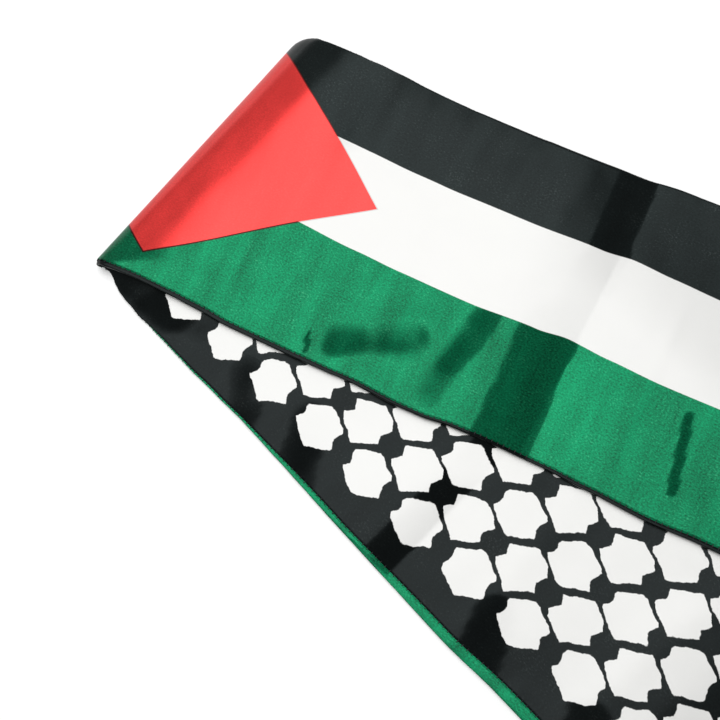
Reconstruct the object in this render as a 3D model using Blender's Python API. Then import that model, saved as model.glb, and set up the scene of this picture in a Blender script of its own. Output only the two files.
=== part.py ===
"""A printed satin scarf, sewn as a flat tube from two panels, folded over once and laid down flat.

A place on the cloth is given in strip coordinates: along runs down the scarf's length from its middle,
across runs over its width from the centreline, and offset stands off the middle of the tube, with the
flag side positive. Metres, +Z up, and the scarf lies on z = 0.
"""

import math

import bmesh
import bpy
from mathutils import Vector

# The flat scarf.
WIDTH = 0.140
LENGTH = 1.300
WALL = 0.001
GAP = 0.0003

# How it is folded, as headings in degrees from +X. The limbs open away from the fold.
FOLD_HEADING = 84.0
UPPER_HEADING = 10.0
LOWER_HEADING = -10.0
FOLD_AT_NEAR_EDGE = -0.0217

# The soft roll at the fold is tight at the near edge and loose at the far edge.
NEAR_ROLL = {"half_height": 0.0025, "depth": 0.0025, "neck": 0.025, "turn": 0.041}
FAR_ROLL = {"half_height": 0.0080, "depth": 0.0130, "neck": 0.065, "turn": 0.120}
DEPTH_GROWTH = 0.7
FAR_CORNER_RADIUS = 0.006
FAR_CORNER_REACH = 0.012

# The upper limb's near edge bows in towards its middle just past the fold.
BOW = {"inward": 0.0032, "fullest": 0.045, "ends": 0.125}

# The upper limb comes down from the lower limb to the floor just past that limb's far edge.
DRAPE = {"starts": 0.010, "width": 0.060}

# The roll of one panel over the other at the near edge: black over the flag, green over the net.
BLACK_ROLL = {"widest": 0.0020, "starts": 0.030, "full": 0.090}
GREEN_ROLL = {"widest": 0.0050, "starts": 0.095, "full": 0.285}
LEAST_ROLL = 0.0002

# The largest swells of the top layer. Each rises from start to crest and drops to end, where a
# crease crosses the scarf. Columns: start, crest, end, height, all measured from the fold.
UPPER_SWELLS = (
    (0.100, 0.172, 0.203, 0.0034),
    (0.262, 0.300, 0.320, 0.0014),
    (0.330, 0.405, 0.436, 0.0028),
    (0.450, 0.520, 0.552, 0.0022),
)
LOWER_SWELLS = (
    (0.095, 0.120, 0.150, 0.0010),
    (0.170, 0.225, 0.258, 0.0018),
    (0.270, 0.315, 0.350, 0.0012),
    (0.380, 0.450, 0.490, 0.0022),
    (0.510, 0.560, 0.600, 0.0014),
)
SWELL_MARGIN = 0.016
UNCOVERED = {"starts": 0.012, "width": 0.020}

# Stations lie along the fold near it, and turn square to the scarf between these distances from it.
SKEW_FADES = {"from": 0.030, "to": 0.130}
FAR_COLUMNS = {"width": 0.014, "steps": 4}
FLAT_STEPS = 10
ROUND_STEPS = 3

HALF_WIDTH = WIDTH / 2
HALF_LENGTH = LENGTH / 2
OUTER = WALL + GAP / 2
INNER = GAP / 2
REST_HEIGHT = OUTER
UPPER_REST_HEIGHT = 3 * OUTER + GAP
CORE = HALF_WIDTH - OUTER
SEAM_ANGLE = math.degrees(math.asin(INNER / OUTER))
FOLD_TO_LIMB = math.radians(FOLD_HEADING - UPPER_HEADING)
SKEW = 1 / math.tan(FOLD_TO_LIMB)
FOLD_LENGTH = WIDTH / math.sin(FOLD_TO_LIMB)
CREASE = Vector((math.cos(math.radians(FOLD_HEADING)), math.sin(math.radians(FOLD_HEADING)), 0))
INWARD = Vector((CREASE.y, -CREASE.x, 0))
UPPER_LEFT = Vector((-math.sin(math.radians(UPPER_HEADING)), math.cos(math.radians(UPPER_HEADING)), 0))
PRESSED_HEADING = 2 * FOLD_HEADING - 180 - UPPER_HEADING
LOWER_TURN = math.radians(LOWER_HEADING - PRESSED_HEADING)
FLAG_SIDE = 1
NET_SIDE = -1
MIDDLE_PAST_FOLD = FOLD_AT_NEAR_EDGE + SKEW * HALF_WIDTH
PROFILE_STEPS = 16
NUDGE = 0.0002
SHARP_ANGLE = 50.0

# Stations along the scarf, counted from the fold. Columns: from, to, number of steps.
ROLL_REACH = 0.020
ROLL_TIP = 0.002
ROLL_STATIONS = ((-ROLL_REACH, -ROLL_TIP, 8), (-ROLL_TIP, ROLL_TIP, 4), (ROLL_TIP, ROLL_REACH, 8))
UPPER_STATIONS = (
    (ROLL_REACH, 0.100, 8),
    (0.100, 0.172, 4),
    (0.172, 0.203, 4),
    (0.203, HALF_LENGTH - MIDDLE_PAST_FOLD, 20),
)
LOWER_STATIONS = (
    (-HALF_LENGTH - MIDDLE_PAST_FOLD, -0.130, 22),
    (-0.130, -ROLL_REACH, 9),
)

# The panels' main colours. Each side's print is in its finish.
FLAG_GREEN = (0.02, 0.28, 0.13)
NET_BLACK = (0.03, 0.035, 0.035)
SATIN_ROUGHNESS = 0.4


def smooth(x):
    x = min(max(x, 0.0), 1.0)
    return x * x * (3 - 2 * x)


def between(near, far, share):
    return near + (far - near) * share


def fold_along(across):
    """Where the fold's outer line crosses the scarf at this place across it."""
    return FOLD_AT_NEAR_EDGE + SKEW * (across + HALF_WIDTH)


def roll_profile(share, rest_height, above):
    """Points (run, depth in from the fold's outer line, height) of half of the roll, from its tip."""
    half_height = between(NEAR_ROLL["half_height"], FAR_ROLL["half_height"], share)
    depth = between(NEAR_ROLL["depth"], FAR_ROLL["depth"], max(share, 0.0) ** DEPTH_GROWTH)
    neck = between(NEAR_ROLL["neck"], FAR_ROLL["neck"], share)
    centre = REST_HEIGHT + half_height
    side = 1 if above else -1
    points = []
    for step in range(PROFILE_STEPS + 1):
        angle = math.pi / 2 * step / PROFILE_STEPS
        points.append((depth * (1 - math.cos(angle)), centre + side * half_height * math.sin(angle)))
    if above:
        drop = centre + half_height - rest_height
        for step in range(1, PROFILE_STEPS + 1):
            part = step / PROFILE_STEPS
            height = rest_height + drop * (1 + math.cos(math.pi * part)) / 2
            points.append((depth + neck * part, height))
    runs = [0.0]
    for last, this in zip(points, points[1:]):
        runs.append(runs[-1] + math.dist(last, this))
    return [(run, *point) for run, point in zip(runs, points)]


def on_profile(profile, run):
    """The depth and height at this run along the profile, which goes on level past its end."""
    for (run_a, depth_a, height_a), (run_b, depth_b, height_b) in zip(profile, profile[1:]):
        if run <= run_b:
            part = (run - run_a) / (run_b - run_a)
            return between(depth_a, depth_b, part), between(height_a, height_b, part)
    last_run, last_depth, last_height = profile[-1]
    return last_depth + run - last_run, last_height


def far_corner_slump(from_near, run):
    """How far the fold's far corner falls back, which rounds it off in plan."""
    over = min(max(from_near - (FOLD_LENGTH - FAR_CORNER_RADIUS), 0.0), FAR_CORNER_RADIUS)
    back = FAR_CORNER_RADIUS - math.sqrt(FAR_CORNER_RADIUS**2 - over**2)
    return back * math.exp(-((run / FAR_CORNER_REACH) ** 2))


def near_edge_bow(past_fold, share):
    """How far the upper limb's cloth shifts in from its near edge, which shows as a shallow bow."""
    rising = smooth(past_fold / BOW["fullest"])
    falling = smooth((BOW["ends"] - past_fold) / (BOW["ends"] - BOW["fullest"]))
    return BOW["inward"] * rising * falling * smooth(1 - share)


def upper_rest_height(plan):
    """The upper limb's middle rests on the lower limb, and past that limb's far edge it comes down."""
    heading = math.radians(LOWER_HEADING)
    beyond = -plan.x * math.sin(heading) + plan.y * math.cos(heading) - WIDTH
    return between(UPPER_REST_HEIGHT, REST_HEIGHT, smooth((beyond - DRAPE["starts"]) / DRAPE["width"]))


def middle(along, across):
    """The middle of the tube at a place on the cloth, with the fold's near corner at x = y = 0."""
    from_near = (across + HALF_WIDTH) / math.sin(FOLD_TO_LIMB)
    share = from_near / FOLD_LENGTH
    past_fold = along - fold_along(across)
    above = past_fold >= 0
    run = abs(past_fold) * math.sin(FOLD_TO_LIMB)
    foot = from_near + past_fold * math.cos(FOLD_TO_LIMB)
    rest_height = REST_HEIGHT
    if above:
        rest_height = upper_rest_height(foot * CREASE + run * INWARD)
    depth, height = on_profile(roll_profile(share, rest_height, above), run)
    depth += far_corner_slump(from_near, run)
    place = foot * CREASE + depth * INWARD
    if above:
        place += near_edge_bow(past_fold, share) * UPPER_LEFT
    else:
        turn = LOWER_TURN * smooth(run / between(NEAR_ROLL["turn"], FAR_ROLL["turn"], share))
        place = Vector(
            (
                place.x * math.cos(turn) - place.y * math.sin(turn),
                place.x * math.sin(turn) + place.y * math.cos(turn),
                0,
            )
        )
    place.z = height
    return place


def flag_side(along, across):
    """The direction that the flag side faces."""
    across = min(max(across, -HALF_WIDTH + NUDGE), HALF_WIDTH - NUDGE)
    down_length = middle(along + NUDGE, across) - middle(along - NUDGE, across)
    over_width = middle(along, across + NUDGE) - middle(along, across - NUDGE)
    return down_length.cross(over_width).normalized()


def swell(swells, from_fold, across):
    """How far the top layer stands up at this place."""
    height = 0.0
    for start, crest, end, most in swells:
        if start < from_fold < end:
            rising = (from_fold - start) / (crest - start)
            falling = (end - from_fold) / (end - crest)
            height = most * smooth(min(rising, falling))
    return height * smooth((CORE - abs(across)) / SWELL_MARGIN)


def upper_swell(along, across):
    return swell(UPPER_SWELLS, along, across)


def lower_swell(along, across):
    """The lower limb swells only where the upper limb doesn't lie on it."""
    plan = middle(along, across)
    heading = math.radians(UPPER_HEADING)
    uncovered = plan.x * math.sin(heading) - plan.y * math.cos(heading)
    clear = smooth((uncovered - UNCOVERED["starts"]) / UNCOVERED["width"])
    return swell(LOWER_SWELLS, -along, across) * clear


def no_swell(along, across):
    return 0.0


def roll_width(roll, from_fold):
    """How far a rolled seam has come over the other panel at this distance from the fold."""
    part = (from_fold - roll["starts"]) / (roll["full"] - roll["starts"])
    return between(LEAST_ROLL, roll["widest"], smooth(part))


def rounded(radius, first_angle, last_angle):
    """Places (across, offset) round the near edge, from straight out at angle 0 to the flag side at 90."""
    places = []
    for step in range(ROUND_STEPS + 1):
        angle = math.radians(between(first_angle, last_angle, step / ROUND_STEPS))
        places.append((-CORE - radius * math.cos(angle), radius * math.sin(angle)))
    return places


def flat_run(start, offset):
    """Places from start over to the far edge's rounding, closer together near that edge."""
    change = CORE - FAR_COLUMNS["width"]
    close_steps = FAR_COLUMNS["steps"]
    wide = [(between(start, change, i / FLAT_STEPS), offset) for i in range(FLAT_STEPS)]
    close = [(between(change, CORE, i / close_steps), offset) for i in range(close_steps + 1)]
    return wide + close


def far_rounding():
    return [(-across, offset) for across, offset in reversed(rounded(OUTER, SEAM_ANGLE, 90))]


def plain_section(covered):
    """A panel's section, seen as the flag panel's, with its near edge kept clear of a rolled seam.

    covered is the width that the other panel's roll takes up, or None where the seam runs along the
    very edge, where the panel's outer face rounds down to the middle of the tube.
    """
    if covered is None:
        near = rounded(OUTER, SEAM_ANGLE, 90)
        inner_start = -CORE
    else:
        near = [(-CORE + covered + GAP, OUTER)]
        inner_start = -CORE + covered + GAP
    outer = near + flat_run(near[-1][0], OUTER)[1:-1] + far_rounding()
    inner = flat_run(inner_start, INNER)
    return outer, inner


def rolled_section(covering):
    """The same for the panel whose near edge rolls over the other one by this width."""
    outer = [(-CORE + covering, -OUTER)] + rounded(OUTER, -90, 90)
    outer += flat_run(-CORE, OUTER)[1:-1] + far_rounding()
    inner = [(-CORE + covering, -INNER)] + rounded(INNER, -90, 90)
    inner += flat_run(-CORE, INNER)[1:]
    return outer, inner


def stations(table):
    """The distances from the fold that a table of from, to and steps gives."""
    found = [table[0][0]]
    for start, end, steps in table:
        found += [between(start, end, (i + 1) / steps) for i in range(steps)]
    return found


def along_at(from_fold, across):
    """The place along the scarf of a station, at this place across it."""
    squared = smooth((abs(from_fold) - SKEW_FADES["from"]) / (SKEW_FADES["to"] - SKEW_FADES["from"]))
    return from_fold + between(fold_along(across), MIDDLE_PAST_FOLD, squared)


def trimmed(from_fold, first, last):
    """Each stretch of a panel ends half a gap short of its neighbour, and of the scarf's end."""
    if from_fold == first:
        return from_fold + GAP / 2
    if from_fold == last:
        return from_fold - GAP / 2
    return from_fold


def panel(name, colour, side, places, section_at, lift):
    """One stretch of a panel, lofted through its sections from the first station to the last.

    side says which way the panel's outer face looks, and lift gives the top layer's swell.
    """
    mesh = bmesh.new()
    rings = []
    for from_fold in places:
        here = trimmed(from_fold, places[0], places[-1])
        outer, inner = section_at(abs(here))
        ring = []
        for across, offset in outer + inner[::-1]:
            along = along_at(here, across)
            stand_off = side * (offset + lift(along, across) * (offset > 0))
            ring.append(mesh.verts.new(middle(along, across) + stand_off * flag_side(along, across)))
        rings.append(ring)
    for last, this in zip(rings, rings[1:]):
        for i, corner in enumerate(last):
            j = (i + 1) % len(last)
            mesh.faces.new((corner, last[j], this[j], this[i]))
    outer_count = len(section_at(abs(places[0]))[0])
    for ring in (rings[0], rings[-1]):
        close_end(mesh, ring, outer_count)
    bmesh.ops.recalc_face_normals(mesh, faces=mesh.faces)
    data = bpy.data.meshes.new(name)
    mesh.to_mesh(data)
    mesh.free()
    data.materials.append(colour)
    data.shade_smooth()
    data.set_sharp_from_angle(angle=math.radians(SHARP_ANGLE))
    return bpy.data.objects.new(name, data)


def close_end(mesh, ring, outer_count):
    """Closes the end of a wall with a strip of faces between its outer and inner points."""
    outer = ring[:outer_count]
    inner = ring[outer_count:][::-1]
    i = j = 0
    while i < len(outer) - 1 or j < len(inner) - 1:
        outer_part = i / (len(outer) - 1)
        inner_part = j / (len(inner) - 1)
        if j == len(inner) - 1 or (i < len(outer) - 1 and outer_part <= inner_part):
            mesh.faces.new((outer[i], outer[i + 1], inner[j]))
            i += 1
        else:
            mesh.faces.new((outer[i], inner[j + 1], inner[j]))
            j += 1


def satin(name, colour):
    material = bpy.data.materials.new(name)
    material.use_nodes = True
    shader = material.node_tree.nodes["Principled BSDF"]
    shader.inputs["Base Color"].default_value = (*colour, 1)
    shader.inputs["Roughness"].default_value = SATIN_ROUGHNESS
    shader.inputs["Metallic"].default_value = 0.0
    material.diffuse_color = (*colour, 1)
    return material


def upper_flag_section(from_fold):
    return plain_section(roll_width(BLACK_ROLL, from_fold))


def upper_net_section(from_fold):
    return rolled_section(roll_width(BLACK_ROLL, from_fold))


def lower_flag_section(from_fold):
    return rolled_section(roll_width(GREEN_ROLL, from_fold))


def lower_net_section(from_fold):
    return plain_section(roll_width(GREEN_ROLL, from_fold))


def fold_section(from_fold):
    return plain_section(None)


def clear_scene():
    for old in list(bpy.data.objects):
        bpy.data.objects.remove(old, do_unlink=True)


def build():
    clear_scene()
    scarf = bpy.data.collections.new("flag_scarf")
    bpy.context.scene.collection.children.link(scarf)
    flag_satin = satin("flag_satin", FLAG_GREEN)
    net_satin = satin("net_satin", NET_BLACK)

    upper = stations(UPPER_STATIONS)
    lower = stations(LOWER_STATIONS)
    roll = stations(ROLL_STATIONS)
    pieces = [
        panel("flag_panel_upper", flag_satin, FLAG_SIDE, upper, upper_flag_section, upper_swell),
        panel("net_panel_upper", net_satin, NET_SIDE, upper, upper_net_section, no_swell),
        panel("flag_panel_fold", flag_satin, FLAG_SIDE, roll, fold_section, no_swell),
        panel("net_panel_fold", net_satin, NET_SIDE, roll, fold_section, no_swell),
        panel("flag_panel_lower", flag_satin, FLAG_SIDE, lower, lower_flag_section, no_swell),
        panel("net_panel_lower", net_satin, NET_SIDE, lower, lower_net_section, lower_swell),
    ]

    corners = [vertex.co for piece in pieces for vertex in piece.data.vertices]
    lowest = Vector(min(corner[axis] for corner in corners) for axis in range(3))
    highest = Vector(max(corner[axis] for corner in corners) for axis in range(3))
    origin = (lowest + highest) / 2
    for piece in pieces:
        piece.location = (-origin.x, -origin.y, -lowest.z)
        scarf.objects.link(piece)


build()
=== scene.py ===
"""A printed satin flag scarf, folded over once and laid flat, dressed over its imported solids."""

import math

import bpy
import numpy as np
from mathutils import Matrix, Vector


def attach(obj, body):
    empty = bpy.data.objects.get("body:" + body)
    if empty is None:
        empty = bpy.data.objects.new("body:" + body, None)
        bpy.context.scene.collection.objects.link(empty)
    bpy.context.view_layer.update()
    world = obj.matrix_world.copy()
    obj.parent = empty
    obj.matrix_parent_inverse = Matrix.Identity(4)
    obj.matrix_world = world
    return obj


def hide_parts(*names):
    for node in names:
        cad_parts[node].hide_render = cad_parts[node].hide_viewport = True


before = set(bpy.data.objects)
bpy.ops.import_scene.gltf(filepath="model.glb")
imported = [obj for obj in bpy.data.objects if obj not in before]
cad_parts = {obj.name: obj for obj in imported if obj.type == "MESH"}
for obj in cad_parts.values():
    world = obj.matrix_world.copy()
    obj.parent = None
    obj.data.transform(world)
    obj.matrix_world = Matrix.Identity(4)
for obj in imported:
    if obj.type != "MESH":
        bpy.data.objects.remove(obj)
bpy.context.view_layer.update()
MM = 0.001


# The flag panel.
# One length of polyester satin, printed with three stripes and a red diamond, sewn to the net panel
# along all its edges and turned, so the scarf is a flat tube. It is folded once across its middle.

# A place on the cloth is (along, across): along from the scarf's middle, across from its centreline.
WIDTH = 140 * MM
LENGTH = 1300 * MM
OUT = 1.15 * MM
CLOTH = 0.35 * MM
CORE = WIDTH / 2 - OUT
QUARTER_TURN = OUT * math.pi / 2

# The fold: its near corner in the frame, its heading and the limbs' headings in degrees.
FOLD_CORNER = Vector((-329.148 * MM, -73.020 * MM, 0))
FOLD_HEADING = math.radians(84)
UPPER_HEADING = math.radians(10)
LOWER_HEADING = math.radians(-10)
FOLD_AT_NEAR_EDGE = -21.7 * MM
FOLD_TO_LIMB = FOLD_HEADING - UPPER_HEADING
SKEW = 1 / math.tan(FOLD_TO_LIMB)
FOLD_LENGTH = WIDTH / math.sin(FOLD_TO_LIMB)
MIDDLE_PAST_FOLD = FOLD_AT_NEAR_EDGE + SKEW * WIDTH / 2
NEAR_ROLL = {"half_height": 2.5 * MM, "depth": 2.5 * MM, "neck": 25 * MM, "turn": 41 * MM}
FAR_ROLL = {"half_height": 8.0 * MM, "depth": 13.0 * MM, "neck": 65 * MM, "turn": 120 * MM}
DEPTH_GROWTH = 0.7
ROLL_STEPS = 33
ROUND_CORNER = {"near": 2.5 * MM, "far": 6 * MM, "reach": 12 * MM}
PRESSED = 0.55
DRAPE = {"starts": 10 * MM, "width": 60 * MM}
UPPER_REST = 4.2 * MM
LOWER_LAID = 2 * FOLD_HEADING - math.pi - UPPER_HEADING
LOWER_TURN = LOWER_HEADING - LOWER_LAID

# An earlier pressing left a ridge beside the fold. The cloth climbs to it from the fold and sinks
# slowly past it. Its start and crest are distances in from the fold, at the near and far edges.
RIDGE = {
    "start": (2.5 * MM, 7.0 * MM),
    "crest": (21.0 * MM, 27.0 * MM),
    "climb": 0.085,
    "ends": 85 * MM,
}
EASES_OFF = 1.4

# Where the cloth wanders from straight. Columns, in mm: distance from the fold, shift across.
UPPER_NEAR_WANDER = (
    (0, 0), (26, 0.8), (42, 0.6), (58, 0.0), (74, -1.1), (106, -1.0), (122, -0.8), (138, -0.3),
    (160, -1.2), (172, -0.9), (190, 0.9), (201, 1.5), (233, 1.5), (249, 0.8), (281, -0.4), (300, 0.4),
    (420, 0.0), (520, 1.0), (700, 0.0),
)
UPPER_FAR_WANDER = (
    (0, 0), (8, 0.3), (28, 0.1), (38, 0.6), (50, 1.5), (62, 2.1), (80, 2.1), (102, 1.4), (122, 1.1),
    (143, 1.3), (182, 1.6), (201, 2.9), (300, 2.6), (420, 0.0), (520, -1.5), (700, 0.0),
)
UPPER_MIDDLE_WANDER = (
    (22, 0), (62, 1.4), (98, -0.4), (120, -1.2), (157, -2.0), (188, -0.3), (203, 1.6), (222, 0.4),
    (246, -0.5), (290, 0.2), (420, 0.0), (700, 0.0),
)
LOWER_NEAR_WANDER = (
    (0, 0), (3, 2.0), (7, 3.2), (10, 3.0), (15, 2.0), (20, 1.1), (26, 0.3), (37, -1.5), (70, -1.2),
    (90, -0.5), (108, 0.2), (128, 0.0), (185, -0.7), (236, -0.9), (268, 0.5), (330, 1.5), (500, -1.0),
    (700, 0.0),
)
WANDER_FADES = {"upper_near": 35 * MM, "upper_far": 56 * MM, "lower_near": 60 * MM}


def smooth(x):
    x = np.clip(x, 0.0, 1.0)
    return x * x * (3 - 2 * x)


def between(near, far, share):
    return near + (far - near) * share


def eased(table, distance):
    """The table's value at this distance, easing between its rows."""
    places, values = np.array(table).T * MM
    after = np.clip(np.searchsorted(places, distance), 1, len(places) - 1)
    part = smooth((distance - places[after - 1]) / (places[after] - places[after - 1]))
    return between(values[after - 1], values[after], part)


def on_roll(share, rest, above, run):
    """Depth in from the fold's outer line, and height, this far round the roll from its tip."""
    half_height = between(NEAR_ROLL["half_height"], FAR_ROLL["half_height"], share)
    depth = between(NEAR_ROLL["depth"], FAR_ROLL["depth"], np.maximum(share, 0) ** DEPTH_GROWTH)
    neck = between(NEAR_ROLL["neck"], FAR_ROLL["neck"], share)
    side = np.where(above, 1.0, -1.0)
    centre = OUT + half_height
    drop = centre + side * half_height - rest
    steps = np.linspace(0, 1, ROLL_STEPS)
    bend = steps * math.pi / 2
    depths = np.concatenate(
        (depth[:, None] * (1 - np.cos(bend)), depth[:, None] + neck[:, None] * steps[1:]), axis=1
    )
    round_heights = centre[:, None] + (side * half_height)[:, None] * np.sin(bend)
    neck_heights = rest[:, None] + drop[:, None] * (1 + np.cos(math.pi * steps[1:])) / 2
    heights = np.concatenate((round_heights, neck_heights), axis=1)
    lengths = np.hypot(np.diff(depths, axis=1), np.diff(heights, axis=1))
    runs = np.concatenate((np.zeros((len(share), 1)), np.cumsum(lengths, axis=1)), axis=1)
    last = np.clip((runs <= run[:, None]).sum(axis=1) - 1, 0, runs.shape[1] - 2)
    row = np.arange(len(share))
    part = (run - runs[row, last]) / (runs[row, last + 1] - runs[row, last])
    past_end = np.maximum(run - runs[:, -1], 0)
    part = np.minimum(part, 1)
    found_depth = between(depths[row, last], depths[row, last + 1], part) + past_end
    return found_depth, between(heights[row, last], heights[row, last + 1], part)


def middle(along, across):
    """The middle of the tube at places on the cloth, in the frame."""
    from_near = (across + WIDTH / 2) / math.sin(FOLD_TO_LIMB)
    share = from_near / FOLD_LENGTH
    past_fold = along - FOLD_AT_NEAR_EDGE - SKEW * (across + WIDTH / 2)
    above = past_fold >= 0
    run = np.abs(past_fold) * math.sin(FOLD_TO_LIMB)
    foot = from_near + past_fold * math.cos(FOLD_TO_LIMB)
    crease = np.array((math.cos(FOLD_HEADING), math.sin(FOLD_HEADING)))
    inward = np.array((crease[1], -crease[0]))
    flat = foot[:, None] * crease + run[:, None] * inward
    beyond = -flat[:, 0] * math.sin(LOWER_HEADING) + flat[:, 1] * math.cos(LOWER_HEADING) - WIDTH
    come_down = smooth((beyond - DRAPE["starts"]) / DRAPE["width"])
    rest = np.where(above, between(UPPER_REST, OUT, come_down), OUT)
    depth, height = on_roll(share, rest, above, run)
    start = between(*RIDGE["start"], share)
    crest = between(*RIDGE["crest"], share)
    climbed = 1 - (1 - np.clip((depth - start) / (crest - start), 0, 1)) ** EASES_OFF
    climbed = climbed * smooth((RIDGE["ends"] - depth) / (RIDGE["ends"] - crest))
    height = height + np.where(above, RIDGE["climb"] * (crest - start) * climbed, 0)
    corners = ((ROUND_CORNER["near"], from_near), (ROUND_CORNER["far"], FOLD_LENGTH - from_near))
    for radius, from_corner in corners:
        over = np.clip(radius - from_corner, 0, radius)
        back = radius - np.sqrt(radius**2 - over**2)
        depth = depth + back * np.exp(-((run / ROUND_CORNER["reach"]) ** 2))
    plan = foot[:, None] * crease + depth[:, None] * inward
    distance = np.abs(past_fold)
    from_near_edge = across + WIDTH / 2
    from_far_edge = WIDTH / 2 - across
    near_fade = smooth(1 - from_near_edge / WANDER_FADES["upper_near"])
    far_fade = smooth(1 - from_far_edge / WANDER_FADES["upper_far"])
    middle_fade = np.sin(math.pi * np.clip(share, 0, 1))
    lower_fade = smooth(1 - from_near_edge / WANDER_FADES["lower_near"])
    upper_shift = eased(UPPER_NEAR_WANDER, distance) * near_fade
    upper_shift += eased(UPPER_FAR_WANDER, distance) * far_fade
    upper_shift += eased(UPPER_MIDDLE_WANDER, distance) * middle_fade
    lower_shift = eased(LOWER_NEAR_WANDER, distance) * lower_fade
    shift = np.where(above, upper_shift, lower_shift)
    laid_heading = np.where(above, UPPER_HEADING, LOWER_LAID)
    plan = plan + shift[:, None] * np.stack((-np.sin(laid_heading), np.cos(laid_heading)), axis=1)
    turned = smooth(run / between(NEAR_ROLL["turn"], FAR_ROLL["turn"], share))
    turn = np.where(above, 0, LOWER_TURN * turned)
    x = plan[:, 0] * np.cos(turn) - plan[:, 1] * np.sin(turn)
    y = plan[:, 0] * np.sin(turn) + plan[:, 1] * np.cos(turn)
    return np.stack((x + FOLD_CORNER.x, y + FOLD_CORNER.y, height), axis=1)


def flag_side(along, across):
    """The direction that the flag side faces."""
    nudge = 0.2 * MM
    across = np.clip(across, -WIDTH / 2 + nudge, WIDTH / 2 - nudge)
    down = middle(along + nudge, across) - middle(along - nudge, across)
    over = middle(along, across + nudge) - middle(along, across - nudge)
    facing = np.cross(down, over)
    return facing / np.linalg.norm(facing, axis=1, keepdims=True)


# The turned seams. One panel rolls over the other at the near edge: black over the flag on the
# upper limb, and on the lower one black right round the edge at first, then green over the net.
# Columns, in mm: distance from the fold, how far in from the rounded edge the seam lies.
UPPER_ROLL = ((0, 1.0), (80, 1.0), (180, 0.45), (400, 1.4), (650, 0.6))
LOWER_ROLL = (
    (0, -2.4), (35, -2.0), (55, -0.7), (112, -0.2), (186, 1.6), (257, 3.3), (300, 4.5), (420, 5.6),
    (650, 2.0),
)
ROLL_CHANGES = 4 * MM
GROOVE = {"depth": 0.28 * MM, "width": 0.5 * MM}
SEAM_GAP = 0.12 * MM


def near_seam(from_fold):
    """How far round from the near edge the seam lies, towards the flag side."""
    distance = np.abs(from_fold)
    on_upper = QUARTER_TURN + eased(UPPER_ROLL, distance)
    on_lower = -QUARTER_TURN - eased(LOWER_ROLL, distance)
    return between(on_lower, on_upper, smooth(0.5 + from_fold / ROLL_CHANGES / 2))


def round_tube(place, radius, lift):
    """Across and offset at a distance round the tube from its near edge, flag side positive."""
    side = np.where(place < 0, -1.0, 1.0)
    distance = np.abs(place)
    straight = 2 * CORE
    on_flat = distance - QUARTER_TURN
    past_flat = np.maximum(on_flat - straight, 0)
    near_angle = np.minimum(distance, QUARTER_TURN) / OUT
    far_angle = math.pi / 2 - np.minimum(past_flat / OUT, math.pi / 2)
    angle = np.where(on_flat < 0, near_angle, far_angle)
    beyond = radius * np.maximum(np.cos(angle), 0) ** PRESSED
    far_across = np.where(past_flat > 0, CORE + beyond, -CORE + on_flat)
    across = np.where(on_flat < 0, -CORE - beyond, far_across)
    offset = (radius + lift) * np.maximum(np.sin(angle), 0) ** PRESSED
    return across, side * offset


# The largest swells of each limb's top layer. The cloth rises slowly and falls steeply to a crease
# that crosses the scarf. Columns, in mm from the fold: start, crest, end, height, and how far the
# crest and the end lean along per mm across.
UPPER_SWELLS = (
    (112, 168, 203.4, 2.0, 0.12, 0.062),
    (300, 352, 380, 1.4, -0.03, -0.03),
    (405, 446, 480, 2.0, 0.02, 0.02),
    (520, 566, 600, 1.6, -0.02, -0.02),
)
LOWER_SWELLS = (
    (165, 203, 222.5, 1.4, 0.02, 0.0),
    (296, 340, 372, 1.0, 0.02, 0.02),
    (450, 500, 530, 2.0, -0.03, -0.03),
    (560, 596, 625, 1.2, 0.02, 0.02),
)
SWELL_MARGIN = 14 * MM
FALL_POWER = 1.6

# Smaller creases of each limb's top layer. Columns, in mm: from (along, across), to (along,
# across), soft width on the fold's side, sharp width on the other, height (a trough is negative).
UPPER_CREASES = (
    (89.0, -57.0, 92.0, -66.5, 1.3, 0.9, 0.15),
    (94.0, -58.0, 119.0, -46.0, 13.0, 6.0, 0.30),
    (119.0, -46.5, 139.0, -36.5, 13.0, 5.5, 0.30),
    (146.0, -48.0, 157.0, -20.0, 14.0, 6.5, 0.30),
    (256.5, -22.0, 261.5, -57.0, 1.3, 0.9, 0.15),
    (233.0, -62.0, 238.0, 20.0, 4.0, 3.0, 0.10),
    (72.0, 36.0, 77.0, 66.0, 4.5, 3.5, 0.09),
    (89.0, 34.0, 94.0, 66.0, 5.0, 3.5, 0.13),
    (108.0, 36.0, 112.0, 66.0, 4.5, 3.5, 0.10),
    (127.0, 34.0, 133.0, 66.0, 5.0, 4.0, 0.12),
    (147.0, 36.0, 151.0, 66.0, 5.0, 4.0, 0.11),
    (172.0, 34.0, 178.0, 66.0, 5.0, 4.0, 0.10),
    (58.0, -20.0, 62.0, 60.0, 7.0, 5.0, 0.12),
    (282.0, -40.0, 290.0, 50.0, 6.0, 5.0, 0.20),
)
LOWER_CREASES = (
    (-50.0, -68.0, -62.0, -20.0, 5.0, 4.0, 0.16),
    (-86.0, -68.0, -96.0, -20.0, 6.0, 5.0, 0.16),
    (-126.0, -68.0, -138.0, -10.0, 6.0, 5.0, 0.16),
    (-170.0, -68.0, -180.0, 10.0, 7.0, 5.0, 0.16),
    (-262.0, -68.0, -256.0, 30.0, 8.0, 5.0, 0.20),
    (-318.0, -68.0, -326.0, 40.0, 8.0, 6.0, 0.20),
    (-400.0, -60.0, -410.0, 60.0, 9.0, 6.0, 0.40),
    (-470.0, -64.0, -462.0, 50.0, 8.0, 5.0, -0.40),
    (-540.0, -60.0, -548.0, 62.0, 9.0, 6.0, 0.40),
)
CREASE_END_FADE = 3

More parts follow.
